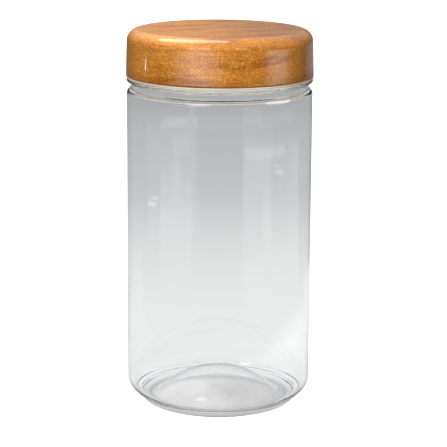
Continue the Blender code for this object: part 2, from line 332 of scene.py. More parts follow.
class StageSettings(bpy.types.PropertyGroup):
    """Camera, floor and lights."""

    distance: length("Camera distance", "From the jar's axis, along the floor", 932.81 * MM)
    camera_height: length("Camera height", "Above the floor", 297.28 * MM)
    pitch: turn("Pitch", "How far the camera looks down", math.radians(12.5215))
    yaw: turn("Yaw", "How far it looks to the right", math.radians(0.14))
    roll: turn("Roll", "How far it is rolled", math.radians(0.363))
    focal: bpy.props.FloatProperty(
        name="Focal length", description="On a 36 mm sensor", default=152.9, subtype="DISTANCE_CAMERA"
    )
    floor_light: tint("Floor near", "Floor close to the jar, as seen through it", (0.90, 0.90, 0.90))
    floor_dark: tint("Floor far", "Floor far behind, as seen through the jar", (0.405, 0.41, 0.42))


def settings():
    """The property groups of the scene."""
    return bpy.context.scene.storage_jar


class StorageJar(bpy.types.PropertyGroup):
    """Everything that a user can change."""

    jar: bpy.props.PointerProperty(type=JarSizes)
    lid: bpy.props.PointerProperty(type=LidSizes)
    cap: bpy.props.PointerProperty(type=CapSizes)
    stage: bpy.props.PointerProperty(type=StageSettings)


# Profiles, as corners (radius, height, fillet)

def arc(centre, reach, rise, start, end, steps=BEND_STEPS):
    """Corners along an ellipse's arc, from angle start to angle end."""
    corners = []
    for i in range(steps + 1):
        angle = start + (end - start) * i / steps
        corners.append((centre[0] + reach * math.cos(angle), centre[1] + rise * math.sin(angle), 0.0))
    return corners


def filleted(corners):
    """Points through the corners, with each fillet as a short arc."""
    points = [Vector(corners[0][:2])]
    for before, here, after in zip(corners, corners[1:], corners[2:]):
        corner = Vector(here[:2])
        if here[2] == 0.0:
            points.append(corner)
            continue
        back = (Vector(before[:2]) - corner).normalized()
        ahead = (Vector(after[:2]) - corner).normalized()
        half = back.angle(ahead) / 2
        centre = corner + (back + ahead).normalized() * here[2] / math.sin(half)
        spoke = corner + back * here[2] / math.tan(half) - centre
        sweep = math.copysign(math.pi - 2 * half, -back.cross(ahead))
        for i in range(ROUND_STEPS + 1):
            turned_by = Matrix.Rotation(sweep * i / ROUND_STEPS, 2)
            points.append(centre + turned_by @ spoke)
    points.append(Vector(corners[-1][:2]))
    return points


def guarded(points):
    """The same points with one more just inside each end of a long straight stretch, so it shades flat."""
    out = [points[0]]
    for start, end in zip(points, points[1:]):
        run = (end - start).length
        if run > 4 * GUARD:
            step = (end - start) * (GUARD / run)
            out += [start + step, end - step]
        out.append(end)
    return out


# Modelling

def turned(name, corners):
    """Spin a profile about Z into a closed solid that is shaded smooth."""
    points = guarded(filleted(corners))
    bpy.ops.object.select_all(action="DESELECT")
    bpy.ops.mesh.primitive_plane_add(size=WELD)
    piece = bpy.context.object
    piece.name = name
    piece.data.name = name
    bpy.ops.object.mode_set(mode="EDIT")
    bpy.ops.mesh.merge(type="CENTER")
    bpy.ops.transform.translate(value=(points[0].x, 0.0, points[0].y))
    for start, end in zip(points, points[1:]):
        step = (end.x - start.x, 0.0, end.y - start.y)
        bpy.ops.mesh.extrude_vertices_move(TRANSFORM_OT_translate={"value": step})
    bpy.ops.mesh.select_all(action="SELECT")
    bpy.ops.mesh.spin(steps=TURN_STEPS, angle=2 * math.pi, center=(0.0, 0.0, 0.0), axis=(0.0, 0.0, 1.0))
    bpy.ops.mesh.select_all(action="SELECT")
    bpy.ops.mesh.remove_doubles(threshold=WELD)
    bpy.ops.mesh.select_all(action="SELECT")
    bpy.ops.mesh.normals_make_consistent(inside=False)
    bpy.ops.object.mode_set(mode="OBJECT")
    return piece


def thread_ridge(wall_radius, outward, depth, pitch, crest, low, turns, start):
    """A helical ridge with its root sunk in the wall and its ends running out, as a solid of its own."""
    root = wall_radius - outward * THREAD_SINK
    tip = wall_radius + outward * depth
    slope = math.tan(THREAD_FLANK)
    root_half = crest / 2 + (depth + THREAD_SINK) * slope
    corner = min(crest, depth) / 3
    section = filleted([
        (root, -root_half, 0.0), (tip, -crest / 2, corner), (tip, crest / 2, corner), (root, root_half, 0.0)
    ])
    bpy.ops.object.select_all(action="DESELECT")
    bpy.ops.mesh.primitive_circle_add(vertices=len(section), radius=depth, fill_type="NGON")
    guide = bpy.context.object
    for vertex, point in zip(guide.data.vertices, section):
        vertex.co = (point.x, 0.0, low + point.y)
    bpy.ops.object.mode_set(mode="EDIT")
    bpy.ops.mesh.select_all(action="SELECT")
    steps = round(turns * TURN_STEPS)
    step = 2 * math.pi * turns / steps
    sizes = []
    for i in range(steps + 1):
        along = min(i, steps - i) * step / THREAD_RUN_OUT
        sizes.append(THREAD_END_SHARE + (1.0 - THREAD_END_SHARE) * min(1.0, along))
    turn_edit_mesh(start)
    shrink_about(sizes[0], root, start, low)
    rise = (0.0, 0.0, pitch * step / (2 * math.pi))
    for i in range(steps):
        bpy.ops.mesh.extrude_region_move(TRANSFORM_OT_translate={"value": rise})
        turn_edit_mesh(step)
        height = low + pitch * (i + 1) * step / (2 * math.pi)
        shrink_about(sizes[i + 1] / sizes[i], root, start + (i + 1) * step, height)
    bpy.ops.mesh.select_all(action="SELECT")
    bpy.ops.mesh.normals_make_consistent(inside=False)
    bpy.ops.object.mode_set(mode="OBJECT")
    return guide


def jar_thread_low(jar):
    """Height at which the middle of the jar's thread starts."""
    return jar.height - JAR_THREAD_DROP - JAR_THREAD_TURNS * jar.thread_pitch


def turn_edit_mesh(angle):
    """Turn what is selected in edit mode anticlockwise about Z."""
    bpy.ops.transform.rotate(value=-angle, orient_axis="Z", center_override=(0.0, 0.0, 0.0))


def shrink_about(size, radius, angle, height):
    """Scale what is selected in edit mode about a point on the thread's root."""
    centre = (radius * math.cos(angle), radius * math.sin(angle), height)
    bpy.ops.transform.resize(value=(size, size, size), center_override=centre)


def choose(piece):
    """Select one object alone and make it active."""
    bpy.ops.object.select_all(action="DESELECT")
    piece.select_set(True)
    bpy.context.view_layer.objects.active = piece


def join_ridge(piece, guide):
    """Union a thread ridge with the piece that carries it."""
    union = piece.modifiers.new("thread", "BOOLEAN")
    union.operation = "UNION"
    union.solver = "EXACT"
    union.object = guide
    choose(piece)
    bpy.ops.object.modifier_apply(modifier=union.name)
    bpy.data.objects.remove(guide, do_unlink=True)


def finish_piece(piece, body, nodes, material):
    """Shade a piece smooth, give it its material and put it in its node's place."""
    choose(piece)
    bpy.ops.object.shade_smooth_by_angle(angle=SMOOTH_ANGLE)
    piece.data.materials.clear()
    piece.data.materials.append(material)
    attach(piece, body)
    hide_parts(*nodes)


# Materials

def new_material(name):
    """A material with its Principled shader and output."""
    material = bpy.data.materials.new(name)
    material.use_nodes = True
    return material, material.node_tree, material.node_tree.nodes["Principled BSDF"]


def node(tree, kind, inputs=None, **choices):
    """Add a node, set its choices, and link or set its inputs, each given as a socket or a value."""
    made = tree.nodes.new(kind)
    for key, value in choices.items():
        setattr(made, key, value)
    for key, source in (inputs or {}).items():
        if isinstance(source, bpy.types.NodeSocket):
            tree.links.new(source, made.inputs[key])
        else:
            made.inputs[key].default_value = source
    return made


def stretched_noise(tree, vector, stretch, scale, detail, roughness=0.5):
    """Noise on a stretched copy of the coordinates, as a value about 0.5."""
    mapped = node(tree, "ShaderNodeMapping", {"Vector": vector, "Scale": stretch}).outputs["Vector"]
    inputs = {"Vector": mapped, "Scale": scale, "Detail": detail, "Roughness": roughness}
    return node(tree, "ShaderNodeTexNoise", inputs).outputs["Fac"]


def ranged(tree, value, low, high, out_low=0.0, out_high=1.0):
    """A value brought from one range to another, with soft ends."""
    inputs = {"Value": value, "From Min": low, "From Max": high, "To Min": out_low, "To Max": out_high}
    return node(tree, "ShaderNodeMapRange", inputs, interpolation_type="SMOOTHSTEP").outputs["Result"]


def between(tree, value, low, high, blur):
    """One where a value lies between two others and nought outside them, with soft ends."""
    rise = ranged(tree, value, low - blur, low + blur)
    fall = ranged(tree, value, high + blur, high - blur)
    return sums(tree, "MULTIPLY", rise, fall)


def blended(tree, factor, first, second, blend="MIX"):
    """A colour mixed from two others. The Mix node's colours are its inputs 6 and 7 and its output 2."""
    inputs = {0: factor, 6: first, 7: second}
    return node(tree, "ShaderNodeMix", inputs, data_type="RGBA", blend_type=blend).outputs[2]


def sums(tree, operation, first, second):
    """Two values put together by a Math node."""
    return node(tree, "ShaderNodeMath", {0: first, 1: second}, operation=operation).outputs[0]


def mixed_by_ray(tree, ray, others, shown, end):
    """Use the last shader for one kind of ray and the first for all the others."""
    path = node(tree, "ShaderNodeLightPath")
    inputs = {0: path.outputs[ray], 1: others.outputs[0], 2: shown.outputs[0]}
    mixer = node(tree, "ShaderNodeMixShader", inputs)
    tree.links.new(mixer.outputs[0], tree.nodes[end].inputs["Surface"])


def new_group(name, inputs, outputs):
    """A shader node group with named inputs and outputs, and its two end nodes."""
    group = bpy.data.node_groups.new(name, "ShaderNodeTree")
    for key, kind in inputs.items():
        group.interface.new_socket(key, in_out="INPUT", socket_type="NodeSocket" + kind)
    for key, kind in outputs.items():
        group.interface.new_socket(key, in_out="OUTPUT", socket_type="NodeSocket" + kind)
    return group, group.nodes.new("NodeGroupInput"), group.nodes.new("NodeGroupOutput")


def moulded_skin():
    """Group: the slight waviness, fine scuffs and uneven gloss of moulded plastic."""
    if "moulded_skin" in bpy.data.node_groups:
        return bpy.data.node_groups["moulded_skin"]
    group, start, end = new_group(
        "moulded_skin",
        {"Vector": "Vector", "Gloss": "Float", "Spread": "Float", "Wave": "Float", "Scuff": "Float"},
        {"Roughness": "Float", "Height": "Float"},
    )
    vector = start.outputs["Vector"]
    waves = stretched_noise(group, vector, *SKIN_WAVES)
    blotches = stretched_noise(group, vector, *SKIN_BLOTCHES)
    scuffs = stretched_noise(group, vector, *SKIN_SCUFFS)
    spread = sums(group, "MULTIPLY", ranged(group, blotches, *BLOTCH_SHARE), start.outputs["Spread"])
    group.links.new(sums(group, "ADD", start.outputs["Gloss"], spread), end.inputs["Roughness"])
    wave_height = sums(group, "MULTIPLY", waves, start.outputs["Wave"])
    scuff_height = sums(group, "MULTIPLY", scuffs, start.outputs["Scuff"])
    group.links.new(sums(group, "ADD", wave_height, scuff_height), end.inputs["Height"])
    return group


def wood_fibres():
    """Group: broad bands, fibres, dark pores and pale specks of a printed wood grain."""
    if "wood_fibres" in bpy.data.node_groups:
        return bpy.data.node_groups["wood_fibres"]
    group, start, end = new_group(
        "wood_fibres",
        {"Vector": "Vector", "Speckle": "Float", "Dark": "Color", "Base": "Color", "Light": "Color",
         "Speck": "Color"},
        {"Color": "Color", "Height": "Float"},
    )
    plain = start.outputs["Vector"]
    drift = stretched_noise(group, plain, *WOOD_DRIFT)
    lift = node(group, "ShaderNodeCombineXYZ", {"Z": sums(group, "MULTIPLY", drift, DRIFT_HEIGHT)})
    wavy = node(group, "ShaderNodeVectorMath", {0: plain, 1: lift.outputs[0]}, operation="ADD").outputs[0]
    bands = stretched_noise(group, wavy, *WOOD_BANDS)
    fibres = stretched_noise(group, wavy, *WOOD_FIBRES)
    hairs = stretched_noise(group, wavy, *WOOD_HAIRS)
    pores = stretched_noise(group, wavy, *WOOD_PORES)
    specks = stretched_noise(group, plain, *WOOD_SPECKS)
    patches = stretched_noise(group, plain, *WOOD_PATCHES)
    grit = stretched_noise(group, plain, *WOOD_GRIT)

    dark = start.outputs["Dark"]
    colour = blended(group, ranged(group, bands, *BAND_SHARE), dark, start.outputs["Base"])
    colour = blended(group, ranged(group, fibres, *FIBRE_SHARE), colour, start.outputs["Light"])
    colour = blended(group, ranged(group, hairs, *HAIR_SHARE), colour, dark)
    colour = blended(group, ranged(group, pores, *PORE_SHARE), colour, dark)
    patchy = ranged(group, patches, *PATCH_SHARE)
    speckle = sums(group, "MULTIPLY", ranged(group, specks, *SPECK_SHARE), patchy)
    speckle = sums(group, "MULTIPLY", speckle, start.outputs["Speckle"])
    colour = blended(group, speckle, colour, start.outputs["Speck"])
    colour = blended(group, 1.0, colour, ranged(group, grit, *GRIT_TONE), "MULTIPLY")
    group.links.new(colour, end.inputs["Color"])
    group.links.new(sums(group, "ADD", fibres, hairs), end.inputs["Height"])
    return group


def skin(tree, shader, vector, gloss, spread, wave, scuff):
    """Give a shader the roughness and the slight relief of moulded plastic."""
    inputs = {"Vector": vector, "Gloss": gloss, "Spread": spread, "Wave": wave, "Scuff": scuff}
    made = node(tree, "ShaderNodeGroup", inputs, node_tree=moulded_skin())
    bump = node(tree, "ShaderNodeBump", {"Height": made.outputs["Height"], "Strength": 1.0, "Distance": 1.0})
    tree.links.new(made.outputs["Roughness"], shader.inputs["Roughness"])
    tree.links.new(bump.outputs["Normal"], shader.inputs["Normal"])


def clear_plastic():
    """Clear blown plastic that lets the light of lamps through."""
    material, tree, shader = new_material("clear_plastic")
    colour = settings().jar.colour
    shader.inputs["Base Color"].default_value = (*colour, 1.0)
    shader.inputs["Transmission Weight"].default_value = 1.0
    shader.inputs["IOR"].default_value = CLEAR_IOR
    coordinates = node(tree, "ShaderNodeTexCoord").outputs["Object"]
    skin(tree, shader, coordinates, *CLEAR_SKIN)
    passing = node(tree, "ShaderNodeBsdfTransparent", {"Color": LAMP_PASS})
    mixed_by_ray(tree, "Is Shadow Ray", shader, passing, "Material Output")
    return material


def wood_print():
    """Printed wood grain under a satin coat: level fibres round the side, long ones across the top, with
    painted light and shade on the top, the side's right end and its lower edge.
    """
    material, tree, shader = new_material("wood_look_plastic")
    lid = settings().lid
    colours = {"Dark": lid.dark, "Base": lid.base, "Light": lid.light, "Speck": lid.speck}
    values = {key: (*colour, 1.0) for key, colour in colours.items()}
    coordinates = node(tree, "ShaderNodeTexCoord").outputs["Object"]
    inputs = {**values, "Vector": coordinates, "Speckle": SIDE_SPECKLE}
    side = node(tree, "ShaderNodeGroup", inputs, node_tree=wood_fibres())
    laid = {"Vector": coordinates, "Rotation": TOP_GRAIN_TURN, "Location": TOP_GRAIN_SHIFT}
    laid = node(tree, "ShaderNodeMapping", laid).outputs["Vector"]
    inputs = {**values, "Vector": laid, "Speckle": TOP_SPECKLE}
    top = node(tree, "ShaderNodeGroup", inputs, node_tree=wood_fibres())
    place = node(tree, "ShaderNodeSeparateXYZ", {"Vector": coordinates}).outputs
    # Painted light across the top: lighter to the left, darker to the right
    top_painted_light = ranged(tree, place["X"], *TOP_PAINTED_LIGHT)
    top_colour = blended(tree, 1.0, top.outputs["Color"], top_painted_light, "MULTIPLY")
    # Painted shade at the right end of the side
    side_end_painted_shade = ranged(tree, place["X"], *SIDE_END_PAINTED_SHADE)
    side_colour = blended(tree, 1.0, side.outputs["Color"], side_end_painted_shade, "MULTIPLY")
    corner = SHELL_TOP.z - lid.corner
    on_top = ranged(tree, place["Z"], corner + TOP_PRINT_START, SHELL_TOP.z - TOP_PRINT_END)
    colour = blended(tree, on_top, side_colour, top_colour)
    # Painted shade, darker towards the lid's lower edge
    colour = blended(tree, 1.0, colour, ranged(tree, place["Z"], *LOWER_EDGE_PAINTED_SHADE), "MULTIPLY")
    tree.links.new(colour, shader.inputs["Base Color"])
    shader.inputs["Specular IOR Level"].default_value = WOOD_SPECULAR
    shader.inputs["Coat Weight"].default_value = WOOD_COAT
    shader.inputs["Coat Roughness"].default_value = WOOD_COAT_ROUGHNESS
    skin(tree, shader, coordinates, *WOOD_SKIN)
    return material


def cream_plastic():
    """Unprinted cream plastic of the inner cap."""
    material, tree, shader = new_material("cream_plastic")
    coordinates = node(tree, "ShaderNodeTexCoord").outputs["Object"]
    clouds = stretched_noise(tree, coordinates, *CREAM_CLOUDS)
    colour = settings().cap.colour
    worn = tuple(c * CLOUD_SHADE for c in colour)
    mixed = blended(tree, ranged(tree, clouds, *BLOTCH_SHARE), (*colour, 1.0), (*worn, 1.0))
    tree.links.new(mixed, shader.inputs["Base Color"])
    skin(tree, shader, coordinates, *CREAM_SKIN)
    return material


def white_foam():
    """Fine closed-cell foam of the sealing wad."""
    material, tree, shader = new_material("white_foam")
    coordinates = node(tree, "ShaderNodeTexCoord").outputs["Object"]
    cells = node(tree, "ShaderNodeTexVoronoi", {"Vector": coordinates, "Scale": FOAM_CELLS})
    cells = cells.outputs["Distance"]
    colour = settings().cap.wad_colour
    shade = tuple(c * FOAM_SHADE for c in colour)
    mixed = blended(tree, ranged(tree, cells, *CELL_SHARE), (*shade, 1.0), (*colour, 1.0))
    tree.links.new(mixed, shader.inputs["Base Color"])
    bump = node(tree, "ShaderNodeBump", {"Height": cells, "Strength": FOAM_BUMP, "Distance": FOAM_RELIEF})
    tree.links.new(bump.outputs["Normal"], shader.inputs["Normal"])
    shader.inputs["Roughness"].default_value = FOAM_ROUGHNESS
    return material


# Operators, one for each piece and one for the stage

class STORAGEJAR_OT_jar(bpy.types.Operator):
    """Build the clear blown jar"""

    bl_idname = "storagejar.jar"
    bl_label = "Clear jar"

    def execute(self, context):
        s = settings().jar
        groove_radius = s.body_radius - s.groove_depth
        groove_bottom = s.shoulder_height + s.shoulder_rise
        bead_bottom = groove_bottom + s.groove_height
        bead_top = bead_bottom + s.bead_thickness
        finish_radius = s.body_radius - s.finish_set_in
        mouth_radius = finish_radius - s.finish_wall
        corners = self.inside(s, groove_radius, bead_bottom, mouth_radius)
        corners += self.outside(s, groove_radius, bead_bottom, bead_top, finish_radius)
        jar = turned("clear_jar", corners)
        low = jar_thread_low(s)
        guide = thread_ridge(
            finish_radius, 1, s.thread_depth, s.thread_pitch, JAR_THREAD_CREST, low, JAR_THREAD_TURNS, 0.0
        )
        join_ridge(jar, guide)
        self.parting_line(jar, s)
        finish_piece(jar, "jar", ["jar"], clear_plastic())
        return {"FINISHED"}

    def dome(self, s):
        """Centre height, radius and half angle of the push-up's sphere."""
        edge = s.body_radius - s.foot_set_in - FOOT_ROUND - STANDING_WIDTH - STANDING_EDGE - LEDGE_WIDTH
        rise = s.push_up - PUSH_UP_EDGE_HEIGHT
        radius = (edge ** 2 + rise ** 2) / (2 * rise)
        return s.push_up - radius, radius, math.asin(edge / radius)

    def heel(self, s):
        """Centre of the rounded heel, as radius and height."""
        return s.body_radius - s.heel_reach, s.crease_height + s.heel_drop * math.sin(HEEL_SWEEP)

    def inside(self, s, groove_radius, bead_bottom, mouth_radius):
        """The jar's inner face, from the middle of the base up to the rim."""
        centre, radius, half = self.dome(s)
        inner = radius + s.base_wall
        corners = arc((0.0, centre), inner, inner, math.pi / 2, math.pi / 2 - half, DOME_STEPS)[:-1]
        corners.append((inner * math.sin(half), centre + inner * math.cos(half), DOME_EDGE_ROUND))
        turn_in = s.body_radius - s.foot_set_in - FOOT_ROUND
        corners.append((turn_in - STANDING_WIDTH, s.base_wall, LEDGE_INNER_ROUND))
        rounding = FOOT_ROUND - s.base_wall
        corners += arc((turn_in, FOOT_ROUND), rounding, rounding, -math.pi / 2, 0.0)
        corners += arc(self.heel(s), s.heel_reach - s.wall, s.heel_drop - s.base_wall, -HEEL_SWEEP, 0.0)
        neck = groove_radius - s.neck_wall
        reach = s.body_radius - s.wall - neck
        corners += arc((neck, s.shoulder_height), reach, s.shoulder_rise - s.neck_wall, 0.0, math.pi / 2)
        cone = bead_bottom - s.neck_wall
        return corners + [
            (neck, cone, CONE_LOW_ROUND), (mouth_radius, cone + neck - mouth_radius, CONE_HIGH_ROUND),
            (mouth_radius, s.height, RIM_ROUND),
        ]

    def outside(self, s, groove_radius, bead_bottom, bead_top, finish_radius):
        """The jar's outer face, from the rim down to the middle of the base."""
        half = s.bead_thickness / 2
        bead = (s.body_radius + BEAD_OVERHANG - half, bead_bottom + half)
        corners = [(finish_radius, s.height, RIM_ROUND), (finish_radius, bead_top, FINISH_FOOT_ROUND)]
        corners += arc(bead, half, half, math.pi / 2, -math.pi / 2)
        corners.append((groove_radius, bead_bottom, GROOVE_ROUND))
        shoulder = arc((groove_radius, s.shoulder_height), s.groove_depth, s.shoulder_rise, math.pi / 2, 0.0)
        corners.append((*shoulder[0][:2], SHOULDER_TOP_ROUND))
        corners += shoulder[1:]
        corners += self.heel_with_ring(s)
        foot = s.body_radius - s.foot_set_in
        turn_in = foot - FOOT_ROUND
        corners.append((foot, FOOT_ROUND, FOOT_CORNER_ROUND))
        corners += arc((turn_in, FOOT_ROUND), FOOT_ROUND, FOOT_ROUND, 0.0, -math.pi / 2)[1:]
        centre, radius, half = self.dome(s)
        dome = arc((0.0, centre), radius, radius, math.pi / 2 - half, math.pi / 2, DOME_STEPS)
        return corners + [
            (turn_in - STANDING_WIDTH, 0.0, STANDING_ROUND),
            (turn_in - STANDING_WIDTH - STANDING_EDGE, STANDING_EDGE, LEDGE_ROUND),
            (*dome[0][:2], DOME_EDGE_ROUND), *dome[1:],
        ]

    def heel_with_ring(self, s):
        """The heel's outer curve down to the crease, with the fine ring where the mould's base met it."""
        heel = self.heel(s)
        upper = arc(heel, s.heel_reach, s.heel_drop, 0.0, RING_HALF_WIDTH - RING_SWEEP)
        lower = arc(heel, s.heel_reach, s.heel_drop, -RING_HALF_WIDTH - RING_SWEEP, -HEEL_SWEEP, ROUND_STEPS)
        reach = s.heel_reach + RING_HEIGHT
        peak = arc(heel, reach, s.heel_drop + RING_HEIGHT, -RING_SWEEP, -RING_SWEEP, 1)[:1]
        crease = (*lower[-1][:2], CREASE_ROUND)
        return upper + peak + lower[:-1] + [crease]

    def parting_line(self, jar, s):
        """Raise the fine ridges that the two halves of the mould leave. They fade out towards the heel."""
        choose(jar)
        bpy.ops.object.mode_set(mode="EDIT")
        across = s.parting_width / s.body_radius
        for turned_by in (-across / 2, 0.0, across / 2):
            angle = s.parting_angle + turned_by
            bpy.ops.mesh.select_all(action="SELECT")
            normal = (-math.sin(angle), math.cos(angle), 0.0)
            bpy.ops.mesh.bisect(plane_co=(0.0, 0.0, 0.0), plane_no=normal)
        bpy.ops.mesh.select_all(action="DESELECT")
        form = bmesh.from_edit_mesh(jar.data)
        side = Vector((-math.sin(s.parting_angle), math.cos(s.parting_angle)))
        for vertex in form.verts:
            off = abs(vertex.co.xy.dot(side))
            is_high = s.shoulder_height / 2 < vertex.co.z < s.shoulder_height
            is_outer = vertex.co.xy.length > s.body_radius - s.wall / 2
            if off < WELD and is_high and is_outer:
                vertex.select = True
        bmesh.update_edit_mesh(jar.data)
        grow = 1.0 + s.parting_height / s.body_radius
        bpy.ops.transform.resize(value=(grow, grow, 1.0), center_override=(0.0, 0.0, 0.0))
        bpy.ops.object.mode_set(mode="OBJECT")


class STORAGEJAR_OT_lid(bpy.types.Operator):
    """Build the lid's wood-look shell"""

    bl_idname = "storagejar.lid"
    bl_label = "Lid shell"

    def execute(self, context):
        s = settings().lid
        bottom, top = SHELL_LOW.z, SHELL_TOP.z
        radius = s.radius - s.draft
        centre = (radius - s.corner, top - s.corner)
        corners = [(0.0, top, 0.0)]
        corners += arc(centre, s.corner, s.corner, math.pi / 2, 0.0, LID_CORNER_STEPS)
        corners.append((s.radius, bottom, s.edge_round))
        corners.append((s.radius - s.wall, bottom, s.edge_round / 2))
        corners += arc(centre, s.corner - s.wall, s.corner - s.roof, 0.0, math.pi / 2)
        ring_bottom = CAP_TOP.z + settings().cap.fit_gap
        ceiling = top - s.roof
        for ring in SUPPORT_RINGS:
            outer, inner = ring + s.ring_width / 2, ring - s.ring_width / 2
            corners += [
                (outer, ceiling, SUPPORT_ROOT_ROUND), (outer, ring_bottom, SUPPORT_TIP_ROUND),
                (inner, ring_bottom, SUPPORT_TIP_ROUND), (inner, ceiling, SUPPORT_ROOT_ROUND),
            ]
        corners.append((0.0, ceiling, 0.0))
        lid = turned("wood_look_lid", corners)
        finish_piece(lid, "lid", ["lid_shell"], wood_print())
        return {"FINISHED"}


class STORAGEJAR_OT_cap(bpy.types.Operator):
    """Build the threaded inner cap"""

    bl_idname = "storagejar.cap"
    bl_label = "Inner cap"

    def execute(self, context):
        s = settings().cap
        jar = settings().jar
        lid = settings().lid
        bore = WAD_TOP.x + s.fit_gap
        radius = bore + s.wall
        centre = (lid.radius - lid.draft - lid.corner, SHELL_TOP.z - lid.corner)
        reach = lid.corner - lid.wall - s.fit_gap
        rise = lid.corner - lid.roof - s.fit_gap
        corner = math.asin((CAP_TOP.z - centre[1]) / rise)
        corners = [(0.0, CAP_TOP.z, 0.0)]
        corners += arc(centre, reach, rise, corner, 0.0)
        flange_top = CAP_LOW.z + s.flange
        bead = WAD_TOP.x - s.bead_overlap
        bead_top = WAD_LOW.z - s.fit_gap
        bead_low = bead_top - s.bead_height
        slope = (bore - bead) / 4
        ceiling = WAD_TOP.z + s.fit_gap
        corners += [
            (radius + lid.draft, flange_top, CAP_CORNER_ROUND), (CAP_TOP.x, flange_top, FLANGE_TOP_ROUND),
            (CAP_TOP.x, CAP_LOW.z, FLANGE_LOW_ROUND), (bore, CAP_LOW.z, FLANGE_LOW_ROUND),
            (bore, bead_low, WAD_BEAD_ROOT_ROUND), (bead, bead_low + slope, WAD_BEAD_ROUND),
            (bead, bead_top - slope, WAD_BEAD_ROUND), (bore, bead_top, WAD_BEAD_ROOT_ROUND),
            (bore, ceiling, CAP_CORNER_ROUND), (0.0, ceiling, 0.0),
        ]
        cap = turned("cream_cap", corners)
        start_turn = (JAR_THREAD_TURNS - CAP_THREAD_TURNS) / 2
        engaged = jar.thread_depth - s.fit_gap
        below = (JAR_THREAD_CREST + CAP_THREAD_CREST) / 2 + engaged * math.tan(THREAD_FLANK)
        below += s.fit_gap / math.cos(THREAD_FLANK)
        low = jar_thread_low(jar) + jar.thread_pitch * start_turn - below
        guide = thread_ridge(
            bore, -1, jar.thread_depth, jar.thread_pitch, CAP_THREAD_CREST, low, CAP_THREAD_TURNS,
            2 * math.pi * start_turn,
        )
        join_ridge(cap, guide)
        finish_piece(cap, "lid", ["inner_cap"], cream_plastic())
        return {"FINISHED"}


class STORAGEJAR_OT_wad(bpy.types.Operator):
    """Build the foam sealing wad"""

    bl_idname = "storagejar.wad"
    bl_label = "Sealing wad"

    def execute(self, context):
        jar = settings().jar
        rim = jar.body_radius - jar.finish_set_in - jar.finish_wall / 2
        half = jar.finish_wall / 2
        low = WAD_LOW.z
        pressed = low + RIM_PRESS
        corners = [
            (0.0, WAD_TOP.z, 0.0), (WAD_TOP.x, WAD_TOP.z, WAD_EDGE_ROUND), (WAD_TOP.x, low, WAD_EDGE_ROUND),
            (rim + half + RIM_PRESS, low, RIM_PRESS), (rim + half, pressed, RIM_PRESS),
            (rim - half, pressed, RIM_PRESS), (rim - half - RIM_PRESS, low, RIM_PRESS), (0.0, low, 0.0),
        ]
        wad = turned("foam_wad", corners)
        finish_piece(wad, "seal", ["seal_wad"], white_foam())
        return {"FINISHED"}


